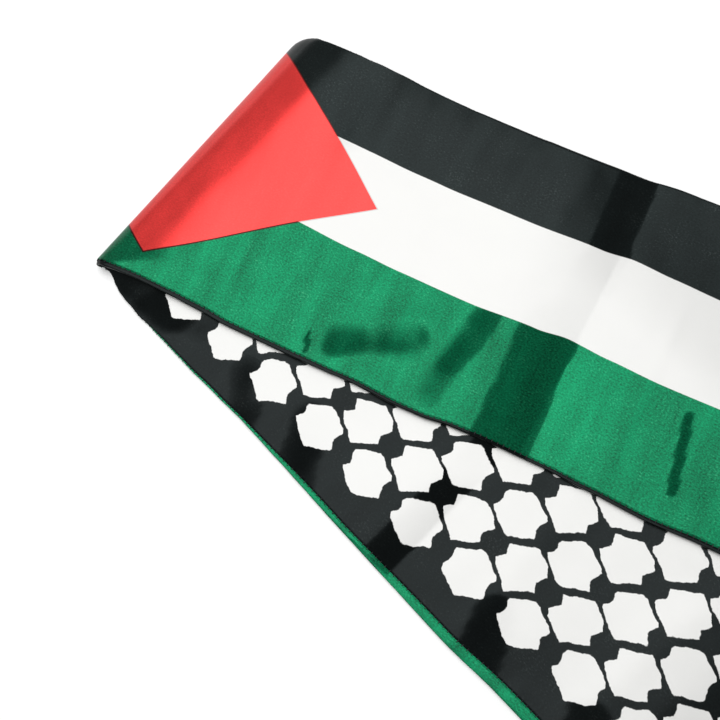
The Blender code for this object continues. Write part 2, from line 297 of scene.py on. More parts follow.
# Patches where the satin's floats lean away from the fold. They turn the shading alone and leave
# the cloth's form as it is. Columns, in mm: from (along, across), to (along, across), half width,
# soft edge, lean.
UPPER_LEANS = (
    (89.3, -56.5, 91.6, -64.5, 1.4, 1.6, 0.60),
    (102.5, -55.5, 112.0, -50.5, 5.4, 10.0, 0.53),
    (112.0, -51.0, 124.0, -46.0, 4.2, 10.0, 0.45),
    (123.5, -45.5, 134.0, -40.5, 6.6, 10.0, 0.54),
    (153.0, -44.0, 160.0, -17.0, 5.2, 8.0, 0.51),
    (150.0, -58.0, 153.0, -46.0, 4.0, 12.0, 0.40),
    (190.2, -80.0, 190.6, -11.0, 10.2, 3.0, 0.37),
    (186.5, -80.0, 187.0, -11.0, 8.5, 12.0, 0.39),
    (194.0, 0.0, 197.0, 22.0, 8.0, 8.0, 0.40),
    (198.2, 26.0, 198.9, 80.0, 8.6, 2.0, 0.42),
    (256.2, -22.0, 261.3, -54.0, 1.3, 2.2, 0.54),
    (330.0, -60.0, 334.0, 20.0, 5.0, 10.0, 0.48),
    (414.0, 0.0, 420.0, 64.0, 6.0, 10.0, 0.48),
)
LOWER_LEANS = (
    (-20.0, -60.0, -66.0, -56.0, 12.0, 8.0, 0.62),
    (-84.0, -54.0, -88.0, -46.0, 4.0, 10.0, 0.44),
    (-114.0, -52.0, -127.0, -68.0, 5.0, 13.0, 0.48),
    (-152.0, -48.0, -166.0, -70.0, 6.0, 14.0, 0.48),
    (-216.5, -76.0, -216.5, 44.0, 6.5, 1.5, 0.44),
    (-268.0, -48.0, -277.0, -70.0, 5.0, 13.0, 0.48),
    (-322.0, -50.0, -328.0, -66.0, 5.0, 12.0, 0.47),
    (-404.0, -60.0, -410.0, 10.0, 5.0, 8.0, 0.48),
)
# The least lean that the sheen shows, and how steeply a patch's soft edge comes up to it.
SEEN_LEAN = 0.24
LEAN_ONSET = 5
RAGGED = {"most": 1.0, "lump": 8 * MM, "seed": 8, "from_half_width": 3}

# Between the fold and the ridge the shading leans towards the fold. Columns: mm past the fold
# before the stretch, lean.
FOLD_LEANS = (
    (-4, 0.24), (2, 0.36), (8, 0.26), (11, 0.27), (14, 0.35), (17, 0.42), (20, 0.40), (26, 0.33),
    (38, 0.0),
)
# How far that band is stretched. Columns: mm across, stretch.
FOLD_LEAN_STRETCH = ((-70, 0.12), (-64, 0.45), (-56, 0.95), (-17, 1.1), (0, 1.35), (60, 1.5))


def swell(swells, from_fold, across, to_edge):
    """How far a limb's top layer stands up in its swells, which sink at the edges or run to them."""
    height = np.zeros_like(from_fold)
    for start, crest, end, most, crest_lean, end_lean in swells:
        crest_here = crest + crest_lean * across / MM
        end_here = end + end_lean * across / MM
        place = from_fold / MM
        rising = smooth((place - start) / (crest_here - start))
        falling = 1 - np.clip((place - crest_here) / (end_here - crest_here), 0, 1) ** FALL_POWER
        height += most * MM * rising * falling
    return height if to_edge else height * smooth((CORE - np.abs(across)) / SWELL_MARGIN)


def creased(creases, along, across):
    """How far the top layer stands up, or sinks, in its smaller creases."""
    height = np.zeros_like(along)
    for from_along, from_across, to_along, to_across, soft, sharp, most in creases:
        start = np.array((from_along, from_across))
        way = np.array((to_along, to_across)) - start
        length = np.linalg.norm(way)
        way = way / length
        away = np.array((way[1], -way[0])) * np.sign(way[1])
        offset = np.stack((along / MM, across / MM), axis=1) - start
        part = offset @ way / length
        aside = offset @ away
        width = np.where(aside < 0, soft, sharp)
        fade = smooth(part * CREASE_END_FADE + 0.5) * smooth((1 - part) * CREASE_END_FADE + 0.5)
        height += most * MM * np.exp(-((aside / width) ** 2)) * fade
    return height


def leaning(patches, along, across):
    """The lean of the patches, the greater where they overlap. It is seen only past SEEN_LEAN."""
    lean = np.zeros_like(along)
    ragged = rumple(along, across, RAGGED["lump"], RAGGED["seed"]) * RAGGED["most"]
    for from_along, from_across, to_along, to_across, half_width, soft, most in patches:
        way_along = to_along - from_along
        way_across = to_across - from_across
        part = (along / MM - from_along) * way_along + (across / MM - from_across) * way_across
        part = np.clip(part / (way_along**2 + way_across**2), 0, 1)
        aside_along = along / MM - from_along - part * way_along
        aside_across = across / MM - from_across - part * way_across
        distance = np.hypot(aside_along, aside_across)
        if half_width > RAGGED["from_half_width"]:
            distance += ragged
        share = smooth((half_width + soft / 2 - distance) / soft)
        seen = SEEN_LEAN * smooth(share * LEAN_ONSET) + (most - SEEN_LEAN) * share
        lean = np.maximum(lean, seen)
    return lean


def rumple(along, across, lump, seed):
    """Smooth random heights from -1 to 1, in lumps of this size."""
    values = np.random.default_rng(seed).uniform(-1, 1, (int(LENGTH / lump) + 3, int(WIDTH / lump) + 4))
    x = np.clip((along + LENGTH / 2) / lump, 0, values.shape[0] - 2.001)
    y = np.clip((across + WIDTH / 2) / lump + 0.5, 0, values.shape[1] - 2.001)
    i = x.astype(int)
    j = y.astype(int)
    u = smooth(x - i)
    v = smooth(y - j)
    near = between(values[i, j], values[i + 1, j], u)
    far = between(values[i, j + 1], values[i + 1, j + 1], u)
    return between(near, far, v)


# The lower limb's near margin is pressed thin, with soft waves along it. Columns of the waves, in
# mm: along, half length, height.
THIN = {"drop": 0.6 * MM, "reach": 15 * MM, "begins": 6 * MM, "full": 30 * MM}
MARGIN_WAVES = (
    (-51, 7, 0.4), (-90, 9, 0.4), (-132, 10, 0.4), (-178, 12, 0.3), (-272, 14, 0.3), (-330, 16, 0.3),
)


def thinned(along, across):
    """How far the lower limb's top layer sinks towards its near edge."""
    from_fold = MIDDLE_PAST_FOLD - along
    begun = smooth((from_fold - THIN["begins"]) / (THIN["full"] - THIN["begins"]))
    drop = THIN["drop"] * np.ones_like(along)
    for centre, half_length, height in MARGIN_WAVES:
        drop -= height * MM * np.exp(-(((along / MM - centre) / half_length) ** 2))
    return -drop * begun * smooth(1 - (across + WIDTH / 2) / THIN["reach"])


UNCOVERED = {"from": 8 * MM, "over": 20 * MM}


def uncovered(along, across):
    """1 where the upper limb doesn't lie on the lower one, and 0 where it does."""
    plan = middle(along, across) - np.array(FOLD_CORNER)
    beyond = plan[:, 0] * math.sin(UPPER_HEADING) - plan[:, 1] * math.cos(UPPER_HEADING)
    return smooth((beyond - UNCOVERED["from"]) / UNCOVERED["over"])


# Slack cloth is never quite even. Columns: size of its lumps and their height, in mm, and seed.
UPPER_SLACK = ((34, 0.22, 3), (15, 0.08, 4))
LOWER_SLACK = ((30, 0.20, 5), (14, 0.08, 6))
LOOSE = {"from": 12 * MM, "over": 30 * MM}


def slack(lumps, along, across):
    return sum(most * rumple(along, across, lump * MM, seed) for lump, most, seed in lumps) * MM


def top_lift(along, across, above, to_edge):
    """How far the layer that faces up stands above the plain tube, on the upper limb or the lower."""
    from_fold = along - MIDDLE_PAST_FOLD
    loose = smooth((from_fold - LOOSE["from"]) / LOOSE["over"])
    upper = swell(UPPER_SWELLS, from_fold, across, to_edge) + creased(UPPER_CREASES, along, across)
    upper = upper + slack(UPPER_SLACK, along, across) * loose
    lower = swell(LOWER_SWELLS, -from_fold, across, to_edge) + creased(LOWER_CREASES, along, across)
    lower = lower + slack(LOWER_SLACK, along, across)
    if not to_edge:
        lower = lower * uncovered(along, across) + thinned(along, across)
    return np.where(above, upper, lower)


PUCKER = {"reach": 5 * MM, "lump": 4.5 * MM, "height": 0.08 * MM, "near_seed": 11, "far_seed": 15}


def pucker(along, place, seed):
    """The small waves that the sewing draws up beside a seam."""
    fade = np.exp(-((place / PUCKER["reach"]) ** 2))
    return (rumple(along, np.zeros_like(along), PUCKER["lump"], seed) + 1) * fade * PUCKER["height"]


# Rows across the scarf, closer at the fold and the sharpest crease. Columns, in mm from the fold:
# from, to, number of steps.
ROWS = (
    (-648.4, -647.2, 6),
    (-647.2, -360, 50),
    (-360, -230, 46),
    (-230, -216, 16),
    (-216, -22, 80),
    (-22, 22, 48),
    (22, 192, 90),
    (192, 214, 28),
    (214, 290, 44),
    (290, 360, 22),
    (360, 650.4, 50),
    (650.4, 651.6, 6),
)
# Columns over a panel, closer at its seams. Columns, in mm from the near seam: from, to, steps.
COLUMNS = (
    (0, 1.6, 6),
    (1.6, 4.0, 4),
    (4.0, 10.0, 4),
    (10.0, 128.0, 62),
    (128.0, 137.6, 6),
    (137.6, 141.0, 7),
)
NEAR_FADE = 16 * MM
SKEW_FADES = {"from": 30 * MM, "to": 130 * MM}


def stations(table):
    found = [table[0][0] * MM]
    for start, end, steps in table:
        found += [between(start, end, (i + 1) / steps) * MM for i in range(steps)]
    return np.array(found)


HALF_ROUND = QUARTER_TURN * 2 + 2 * CORE
HIDDEN = {"share": 0.25, "most": 0.35 * MM}
DEEPEST = 1.2 * MM
LEAST_RADIUS = {"outer": 0.05 * MM, "inner": 0.02 * MM}
SHARP_EDGE = math.radians(60)

# The shading turns further than the form does: how much steeper its swells and creases are, and
# how far it turns up where the flag panel's green rolls over the lower limb's near edge.
SHEEN = 2.5
ROLL_SHEEN = 2.5
ROLL_LEAST_UP = -0.3


def cloth_along(from_fold, across):
    """Along for rows that turn from the fold's slant to square, and the fold's own along here."""
    squared = smooth((np.abs(from_fold) - SKEW_FADES["from"]) / (SKEW_FADES["to"] - SKEW_FADES["from"]))
    fold_here = FOLD_AT_NEAR_EDGE + SKEW * (across + WIDTH / 2)
    along = from_fold + between(fold_here, MIDDLE_PAST_FOLD, squared)
    return np.clip(along, -LENGTH / 2, LENGTH / 2), fold_here


def laid(from_fold, signed, sink, wall=0.0, relief=1.0):
    """Points of the scarf in the frame, as laid down.

    from_fold and signed place each point on the tube. sink is its depth below the tube's outside,
    and wall its depth below the cloth's outer face. A relief above 1 is for the sheen: it makes
    the swells and creases higher and runs them out to the edges.
    """
    across, _ = round_tube(signed, OUT, 0)
    along, fold_here = cloth_along(from_fold, across)
    closing = np.sqrt(1 - (1 - np.clip((LENGTH / 2 - np.abs(along)) / OUT, 0.0, 1)) ** 2)
    above = along > fold_here
    lift = top_lift(along, across, above, relief > 1)
    looks_up = np.where(above, signed, -signed) > 0
    hidden = -np.minimum(np.abs(lift) * HIDDEN["share"], HIDDEN["most"])
    lift = np.where(looks_up, np.maximum(lift, -DEEPEST), hidden) * closing * relief
    radius = np.maximum((OUT - sink) * closing, LEAST_RADIUS["outer"])
    if wall:
        radius = np.maximum(radius - wall, LEAST_RADIUS["inner"])
    at, stand_off = round_tube(signed, radius, lift)
    return middle(along, at) + stand_off[:, None] * flag_side(along, across)


def leans(along, across, signed, side):
    """How far the sheen leans along the cloth, on the faces that look up."""
    past_fold = (along - FOLD_AT_NEAR_EDGE - SKEW * (across + WIDTH / 2)) * math.sin(FOLD_TO_LIMB) / MM
    stretch = np.interp(across / MM, *zip(*FOLD_LEAN_STRETCH))
    band = np.interp(past_fold / stretch, *zip(*FOLD_LEANS))
    upper = np.where(signed > 0, leaning(UPPER_LEANS, along, across) - band, 0)
    lower = np.where((signed < 0) & (side < 0), -leaning(LOWER_LEANS, along, across), 0)
    return np.where(past_fold > FOLD_LEANS[0][0], upper, lower)


def panel_mesh(name, side):
    """A panel as a closed thin shell: its outer face, its inner face, and a strip round its edge.

    side is 1 for the flag panel and -1 for the net panel. The strip attribute keeps each point's
    place on the cloth. The sheen attribute keeps the way that its floats lie: the outward direction
    with the swells and creases made steeper, because satin shows a slope more than plain cloth does.
    """
    rows = stations(ROWS)
    columns = stations(COLUMNS)
    columns = columns / columns[-1]
    from_fold, share = (grid.ravel() for grid in np.meshgrid(rows, columns, indexing="ij"))
    base = share * (HALF_ROUND - SEAM_GAP)
    place = base + side * near_seam(from_fold) * (1 - smooth(base / NEAR_FADE)) + SEAM_GAP / 2
    signed = side * place
    across, _ = round_tube(signed, OUT, 0)
    along, _ = cloth_along(from_fold, across)
    from_seam = np.minimum(base, HALF_ROUND - base)
    sink = GROOVE["depth"] * np.exp(-((from_seam / GROOVE["width"]) ** 2))
    sink = sink + pucker(along, base, PUCKER["near_seed"] + side)
    sink = sink + pucker(along, HALF_ROUND - base, PUCKER["far_seed"] + side)
    outer = laid(from_fold, signed, sink)
    inner = laid(from_fold, signed, sink, wall=CLOTH)
    steep = laid(from_fold, signed, sink, relief=SHEEN).reshape(len(rows), len(columns), 3)
    down_cloth = np.gradient(steep, axis=0)
    sheen = side * np.cross(down_cloth, np.gradient(steep, axis=1)).reshape(-1, 3)
    sheen /= np.maximum(np.linalg.norm(sheen, axis=1, keepdims=True), 1e-12)
    down_cloth = down_cloth.reshape(-1, 3)
    down_cloth /= np.maximum(np.linalg.norm(down_cloth, axis=1, keepdims=True), 1e-12)
    sheen += leans(along, across, signed, side)[:, None] * down_cloth
    rolled_up = (side > 0) & (along < FOLD_AT_NEAR_EDGE) & (across < -CORE)
    rolled_up = rolled_up & (sheen[:, 2] > ROLL_LEAST_UP)
    sheen[:, 2] += np.where(rolled_up, ROLL_SHEEN, 0)
    sheen /= np.linalg.norm(sheen, axis=1, keepdims=True)
    points = np.concatenate((outer, inner))

    many = len(columns)
    count = len(rows) * many
    corner = (np.arange(len(rows) - 1)[:, None] * many + np.arange(many - 1)).ravel()
    outer_faces = np.stack((corner, corner + many, corner + many + 1, corner + 1), axis=1)
    edge = np.concatenate(
        (
            np.arange(many),
            np.arange(1, len(rows)) * many + many - 1,
            (len(rows) - 1) * many + np.arange(many - 2, -1, -1),
            np.arange(len(rows) - 2, 0, -1) * many,
        )
    )
    next_edge = np.roll(edge, -1)
    rim = np.stack((edge, next_edge, next_edge + count, edge + count), axis=1)
    faces = np.concatenate((outer_faces, outer_faces[:, ::-1] + count, rim))
    if side < 0:
        faces = faces[:, ::-1]

    mesh = bpy.data.meshes.new(name)
    mesh.from_pydata(points.tolist(), [], faces.tolist())
    strip = mesh.attributes.new("strip", "FLOAT_VECTOR", "POINT")
    printed = np.where(np.abs(place) < QUARTER_TURN, -CORE - (QUARTER_TURN - place), across)
    values = np.stack((along, printed, np.zeros_like(along)), axis=1)
    strip.data.foreach_set("vector", np.concatenate((values, values)).astype(np.float32).ravel())
    outward = mesh.attributes.new("sheen", "FLOAT_VECTOR", "POINT")
    outward.data.foreach_set("vector", np.concatenate((sheen, sheen)).astype(np.float32).ravel())
    mesh.shade_smooth()
    mesh.set_sharp_from_angle(angle=SHARP_EDGE)
    piece = bpy.data.objects.new(name, mesh)
    bpy.context.scene.collection.objects.link(piece)
    return piece


class Wire:
    """A shader socket in an expression, where arithmetic on it adds Math nodes."""

    def __init__(self, finish, socket):
        self.finish = finish
        self.socket = socket

    def maths(self, operation, *others, clamp=False):
        settings = {"operation": operation, "use_clamp": clamp}
        return self.finish.add("ShaderNodeMath", settings, dict(enumerate((self, *others))))

    def __add__(self, other):
        return self.maths("ADD", other)

    def __sub__(self, other):
        return self.maths("SUBTRACT", other)

    def __mul__(self, other):
        return self.maths("MULTIPLY", other)

    def __truediv__(self, other):
        return self.maths("DIVIDE", other)

    def __rsub__(self, other):
        return self.finish.number(other).maths("SUBTRACT", self)

    def __neg__(self):
        return self * -1

    __radd__ = __add__
    __rmul__ = __mul__

    def absolute(self):
        return self.maths("ABSOLUTE")

    def least(self, other):
        return self.maths("MINIMUM", other)

    def most(self, other):
        return self.maths("MAXIMUM", other)

    def clamped(self):
        return self.maths("ADD", 0.0, clamp=True)

    def edge(self, blur):
        """0 below zero and 1 above it, with an edge this wide."""
        return (self / blur).maths("ADD", 0.5, clamp=True)


SATIN = {
    "roughness": 0.33,
    "rough_spread": 0.10,
    "specular": 0.2,
    "dyed": 0.60,
    "undyed": 0.12,
    "undyed_lean": 0.05,
    "white_undyed": 0.95,
}
# The satin's patterns, in steps per mm along and across. They set its bump and roughness, and the sheen
# and glints painted into its colour.
YARNS = {"along": 0.5, "across": 4.0, "scale": 1.6, "detail": 1.0, "roughness": 0.5}
FLECKS = {"along": 1.0, "across": 1.4, "scale": 1.0, "detail": 3.0, "roughness": 0.7}
CLOUDS = {"along": 0.07, "across": 0.09, "scale": 1.0, "detail": 3.0, "roughness": 0.6}
RIPPLES = {"along": 0.10, "across": 0.014, "scale": 1.0, "detail": 2.0, "roughness": 0.5}
# How much each pattern does to the sheen painted into the colour, to the painted glints, and to the bump.
PAINTED_SHEEN = {"flecks": 3.0, "clouds": 0.6, "ripples": 1.1}
GLINT = {"flecks": 2.2, "clouds": 0.8, "from": 0.25, "most": 0.22, "colour": (0.55, 0.62, 0.58, 1)}
BUMP = {"flecks": 0.030, "yarns": 0.012, "distance": 1.0 * MM}


class Finish:
    """A material's node tree. Any node comes from add()."""

    def __init__(self, name):
        self.material = bpy.data.materials.new(name)
        self.material.use_nodes = True
        self.tree = self.material.node_tree
        self.shader = self.tree.nodes["Principled BSDF"]

    def add(self, kind, settings=None, values=None, output=0):
        node = self.tree.nodes.new(kind)
        for key, value in (settings or {}).items():
            setattr(node, key, value)
        for key, value in (values or {}).items():
            self.feed(node.inputs[key], value)
        return Wire(self, node.outputs[output])

    def feed(self, socket, value):
        if isinstance(value, Wire):
            self.tree.links.new(value.socket, socket)
        else:
            socket.default_value = value

    def number(self, value):
        return self.add("ShaderNodeMath", {"operation": "ADD"}, {0: value, 1: 0.0})

    def vector(self, x, y, z=0.0):
        return self.add("ShaderNodeCombineXYZ", None, {0: x, 1: y, 2: z})

    def mix(self, share, first, second, blend="MIX"):
        """The first colour where share is 0, and the second, or the blend, where it is 1."""
        settings = {"data_type": "RGBA", "blend_type": blend}
        return self.add("ShaderNodeMix", settings, {0: share, 6: first, 7: second}, output=2)

    def noise(self, place, scale, detail=2.0, roughness=0.5):
        """Noise centred on zero, between about -0.5 and 0.5."""
        values = {"Vector": place, "Scale": scale, "Detail": detail, "Roughness": roughness}
        return self.add("ShaderNodeTexNoise", None, values) - 0.5

    def pattern(self, along, across, kind):
        place = self.vector(along * kind["along"], across * kind["across"])
        return self.noise(place, kind["scale"], kind["detail"], kind["roughness"])

    def strip(self):
        """The place on the cloth, along and across, in mm."""
        place = self.add("ShaderNodeAttribute", {"attribute_name": "strip"}, output=1)
        parts = self.add("ShaderNodeSeparateXYZ", None, {0: place})
        across = Wire(self, parts.socket.node.outputs[1])
        return parts * 1000, across * 1000

    def satin(self, colour, dyed, flecked, along, across):
        """Satin: floats of bright yarn, which glint in flecks of about a millimetre. Their sheen and
        glints are painted into the colour.

        dyed is 1 where the cloth is dyed, and 0 where it is left white. flecked is 1 where the
        flecks show, and less where the colour hides them.
        """
        yarns = self.pattern(along, across, YARNS)
        flecks = self.pattern(along, across, FLECKS)
        clouds = self.pattern(along, across, CLOUDS)
        ripples = self.pattern(along, across, RIPPLES)
        # Painted sheen: light and dark flecks, clouds and ripples that multiply the colour.
        painted_sheen = flecks * PAINTED_SHEEN["flecks"] + clouds * PAINTED_SHEEN["clouds"] + ripples * PAINTED_SHEEN["ripples"]
        painted_sheen = 1 + painted_sheen * flecked
        # Painted glints: in the brightest flecks the colour is mixed towards a pale green.
        glint = flecks * GLINT["flecks"] + clouds * GLINT["clouds"] - GLINT["from"]
        glint = glint.clamped() * flecked * GLINT["most"]
        shaded = self.mix(1.0, colour, painted_sheen, "MULTIPLY")
        self.feed(self.shader.inputs["Base Color"], self.mix(glint, shaded, GLINT["colour"]))
        shine = SATIN["undyed"] + (SATIN["dyed"] - SATIN["undyed"]) * dyed
        self.feed(self.shader.inputs["Metallic"], shine)
        rough = SATIN["roughness"] + clouds * SATIN["rough_spread"] + flecks * SATIN["rough_spread"]
        self.feed(self.shader.inputs["Roughness"], rough)
        plain = self.add("ShaderNodeNewGeometry", output=1)
        steep = self.add("ShaderNodeAttribute", {"attribute_name": "sheen"}, output=1)
        share = SATIN["undyed_lean"] + (1 - SATIN["undyed_lean"]) * dyed
        mixed = {0: share, 4: plain, 5: steep}
        sheen = self.add("ShaderNodeMix", {"data_type": "VECTOR"}, mixed, output=1)
        height = flecks * BUMP["flecks"] + yarns * BUMP["yarns"]
        bump = {"Strength": 1.0, "Distance": BUMP["distance"], "Height": height, "Normal": sheen}
        self.feed(self.shader.inputs["Normal"], self.add("ShaderNodeBump", None, bump))
        self.shader.inputs["Specular IOR Level"].default_value = SATIN["specular"]
        return self.material


# The flag's print: the ink's soft edge, the stripes' edges and the diamond, in mm, and the dyes.
INK_EDGE = 0.30
STRIPES = {"black_above": 31.0, "green_below": -13.6}
DIAMOND = {"half_length": 93.0, "half_width": 65.0, "across": 8.4, "outline": 0.8}
BLACK_DYE = (0.0088, 0.0130, 0.0130, 1)
WHITE_CLOTH = (0.70, 0.70, 0.685, 1)
GREEN_DYE = (0.001, 0.140, 0.058, 1)
RED_DYE = (0.80, 0.050, 0.046, 1)
OVERPRINT = (0.025, 0.007, 0.006, 1)
OUTLINE = {"on_white": 0.3, "more_on_black": 0.4, "more_on_green": 0.65}
# How much the red and the black hide the painted sheen and glints.
FLECKS_HIDDEN = {"by_red": 0.75, "by_black": 0.4}


def flag_satin():
    finish = Finish("flag_satin")
    along, across = finish.strip()
    black = (across - STRIPES["black_above"]).edge(INK_EDGE)
    green = (STRIPES["green_below"] - across).edge(INK_EDGE)
    length, width = DIAMOND["half_length"], DIAMOND["half_width"]
    inside = 1 - along.absolute() / length - (across - DIAMOND["across"]).absolute() / width
    inside = inside * (length * width / math.hypot(length, width))
    red = inside.edge(INK_EDGE)
    colour = finish.mix(black, WHITE_CLOTH, BLACK_DYE)
    colour = finish.mix(green, colour, GREEN_DYE)
    colour = finish.mix(red, colour, RED_DYE)
    line = (DIAMOND["outline"] / 2 - inside.absolute()).edge(INK_EDGE)
    depth = OUTLINE["on_white"] + OUTLINE["more_on_black"] * black + OUTLINE["more_on_green"] * green
    colour = finish.mix(line * depth, colour, OVERPRINT)
    white = (1 - black) * (1 - green) * (1 - red)
    # The painted sheen and glints show on the dyes, less on the red and the black, and not on the white.
    flecked = (1 - white) * (1 - FLECKS_HIDDEN["by_red"] * red) * (1 - FLECKS_HIDDEN["by_black"] * black)
    return finish.satin(colour, 1 - SATIN["white_undyed"] * white, flecked, along, across)


flag_panel = panel_mesh("flag_panel", 1)
flag_panel.data.materials.append(flag_satin())
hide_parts("flag_panel_upper", "flag_panel_fold", "flag_panel_lower")
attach(flag_panel, "root")


# The net panel.
# The same satin, printed with the fishnet of a keffiyeh: rows of white cells between black cords
# that are knotted at each crossing, and a black margin along both edges.

# One cell of each row, charted in steps of the net: x over to the next cell, y down to the one
# below. Corners run clockwise from the left, and the second and sixth turn in round a knot.
TALL_CELL = (
    (-0.51, -0.19), (-0.335, -0.24), (-0.285, -0.46), (0.27, -0.42),
    (0.48, 0.14), (0.33, 0.25), (0.315, 0.53), (-0.26, 0.365),
)
WIDE_CELL = (
    (-0.53, -0.26), (-0.27, -0.29), (-0.21, -0.48), (0.35, -0.315),
    (0.57, 0.19), (0.27, 0.28), (0.22, 0.44), (-0.34, 0.36),
)
NET = {
    "half_repeat": 15.27,
    "row": 16.5,
    "rows": 6,
    "first_along": -0.9,
    "first_across": -44.6,
    "lean": 0.058,
    "drift": 9.5,
    "drift_from": 40.0,
    "drift_to": 400.0,
    "drift_at_first": 3.9,
    "pulled": 3.4,
    "pulled_from": 124.0,
    "pulled_full": 74.0,
    "rounding": 0.025,
    "ends": 634.0,
    "spread": 0.006,
    "cell_blur": 0.014,
    "border_blur": 0.1,
    "end_blur": 0.4,
    "flecked": 0.5,
}
NET_DYE = (0.0062, 0.0088, 0.0090, 1)

# The outlines waver and are jagged: noise in steps per mm, that moves them by shares of a net step.
WAVER = {"steps": 0.11, "detail": 1.0, "most": 0.126}
JAGS = {"steps": 0.55, "detail": 2.0, "most": 0.0448}
STRAY_STARTS = {"over": 3.7, "down": 41.2}


def strayed(finish, along, across, start):
    """How far the net's outlines stray here from the chart."""
    strays = []
    for kind in (WAVER, JAGS):
        place = finish.vector(along * kind["steps"], across * kind["steps"])
        values = {0: place, 1: (start, 0, 0)}
        moved = finish.add("ShaderNodeVectorMath", {"operation": "ADD"}, values)
        strays.append(finish.noise(moved, 1.0, detail=kind["detail"]) * kind["most"])
    return strays[0] + strays[1]


def net_satin():
    finish = Finish("net_satin")
    along, across = finish.strip()
    part = (along.absolute() - NET["drift_from"]) / (NET["drift_to"] - NET["drift_from"])
    part = part.clamped()
    drift = part * part * (3 - 2 * part) * NET["drift"] - NET["drift_at_first"]
    row_place = (across - drift - NET["first_across"]) / NET["row"]
    near_fold = (NET["pulled_from"] - along.absolute()) / (NET["pulled_from"] - NET["pulled_full"])
    pulled = near_fold.clamped() * NET["pulled"]
    repeat_place = (NET["first_along"] - pulled - along + across * NET["lean"]) / NET["half_repeat"]
    over = (repeat_place + row_place) / 2 + strayed(finish, along, across, STRAY_STARTS["over"])
    down = (repeat_place - row_place) / 2 + strayed(finish, along, across, STRAY_STARTS["down"])
    over_cell = over.maths("ROUND")
    down_cell = down.maths("ROUND")
    in_cell = finish.vector(over - over_cell, down - down_cell)
    row = over_cell - down_cell

    def inside(corners):
        """Above zero inside the outline, in steps of the net."""
        sides = []
        for i, (x, y) in enumerate(corners):
            next_x, next_y = corners[(i + 1) % len(corners)]
            length = math.hypot(next_x - x, next_y - y)
            facing = ((y - next_y) / length, (next_x - x) / length, 0)
            values = {0: in_cell, 1: facing}
            reach = finish.add("ShaderNodeVectorMath", {"operation": "DOT_PRODUCT"}, values, output=1)
            sides.append(reach - (facing[0] * x + facing[1] * y))
        depth = sides[0].most(sides[1])
        for side in (sides[4].most(sides[5]), sides[2], sides[3], sides[6], sides[7]):
            depth = depth.maths("SMOOTH_MIN", side, NET["rounding"])
        return depth

    odd = (row - (row / 2).maths("FLOOR") * 2).edge(0.5)
    tall = inside(TALL_CELL)
    wide = inside(WIDE_CELL)
    depth = tall + (wide - tall) * odd
    white = (depth + NET["spread"]).edge(NET["cell_blur"])
    white = white * (row + 0.5).edge(NET["border_blur"])
    white = white * (NET["rows"] - 0.5 - row).edge(NET["border_blur"])
    white = white * (NET["ends"] - along.absolute()).edge(NET["end_blur"])
    colour = finish.mix(white, NET_DYE, WHITE_CLOTH)
    # The painted sheen and glints show at half strength on the net's black, and not on its white cells.
    flecked = NET["flecked"] - NET["flecked"] * white
    return finish.satin(colour, 1 - SATIN["white_undyed"] * white, flecked, along, across)


net_panel = panel_mesh("net_panel", -1)
net_panel.data.materials.append(net_satin())
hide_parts("net_panel_upper", "net_panel_fold", "net_panel_lower")
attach(net_panel, "root")


# The seams' stitches.
# Black thread that crosses the seams in short bars, drawn down into the groove between the panels.

STITCH = {
    "pitch": 2.7 * MM,
    "length": 1.7 * MM,
    "width": 0.42 * MM,
    "sunk": 0.17 * MM,
    "uneven": 0.15,
    "seed": 5,
}
THREAD = {"colour": (0.012, 0.012, 0.014, 1), "roughness": 0.6}
SIDE_SEAMS = {"from": -646 * MM, "to": 649 * MM, "samples": 1296, "probe": 0.3 * MM}
END_SEAMS = {"rows": (-648.3 * MM, 651.5 * MM), "samples": 136, "inset": 2 * MM}


def unit(vectors):
    return vectors / np.linalg.norm(vectors, axis=1, keepdims=True)


def seam_runs():
    """Each seam's points, its directions across the seam, and its outward directions."""
    runs = []
    probe = SIDE_SEAMS["probe"]
    from_fold = np.linspace(SIDE_SEAMS["from"], SIDE_SEAMS["to"], SIDE_SEAMS["samples"])
    for signed in (near_seam(from_fold), np.full_like(from_fold, HALF_ROUND)):
        over = laid(from_fold, signed + probe, 0) - laid(from_fold, signed - probe, 0)
        points = laid(from_fold, signed, STITCH["sunk"])
        deeper = laid(from_fold, signed, STITCH["sunk"], wall=probe)
        runs.append((points, unit(over), unit(points - deeper)))
    inset = END_SEAMS["inset"]
    signed = np.linspace(QUARTER_TURN + inset, HALF_ROUND - QUARTER_TURN, END_SEAMS["samples"])
    for end in END_SEAMS["rows"]:
        tip = np.full_like(signed, end)
        before = np.full_like(signed, end - math.copysign(inset, end))
        points = (laid(tip, signed, 0) + laid(tip, -signed, 0)) / 2
        over = laid(before, signed, 0) - laid(before, -signed, 0)
        inside = (laid(before, signed, 0) + laid(before, -signed, 0)) / 2
        runs.append((points, unit(over), unit(points - inside)))
    return runs


